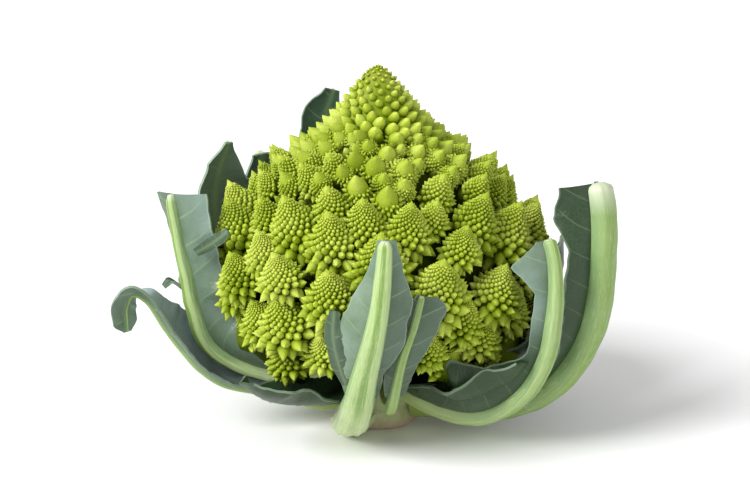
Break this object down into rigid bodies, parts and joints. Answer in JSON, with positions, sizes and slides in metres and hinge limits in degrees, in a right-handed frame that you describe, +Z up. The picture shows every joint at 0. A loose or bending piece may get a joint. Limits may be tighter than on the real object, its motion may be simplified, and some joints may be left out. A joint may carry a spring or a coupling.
{
  "type": "romanesco head",
  "caption": "Trimmed romanesco head: a conical curd of spiralling pointed florets on a flat-cut stalk, cupped by ribbed wrapper leaves.",
  "frame": {"origin": "centre of the stalk's flat cut face, on the surface the head stands on", "axes": "+Z up through the curd's tip; -Y towards the front leaf; +X to the right when seen from the front"},
  "size_m": [0.2154, 0.1928, 0.161],
  "materials": {
    "curd": "waxy yellow-green flesh",
    "stalk": "cut pale stalk",
    "midrib": "smooth pale green rib",
    "blade": "waxy blue-green leaf"
  },
  "bodies": {
    "root": {"curd": "curd", "stalk": "stalk", "front_midrib": "midrib", "front_blade": "blade", "front_inner_midrib": "midrib", "front_inner_blade": "blade", "right_inner_midrib": "midrib", "right_inner_blade": "blade", "right_outer_midrib": "midrib", "right_outer_blade": "blade", "left_inner_midrib": "midrib", "left_inner_blade": "blade", "left_outer_midrib": "midrib", "left_outer_blade": "blade", "back_left_midrib": "midrib", "back_left_blade": "blade", "rear_left_midrib": "midrib", "rear_left_blade": "blade", "back_midrib": "midrib", "back_blade": "blade", "back_right_midrib": "midrib", "back_right_blade": "blade"}
  },
  "joints": []
}
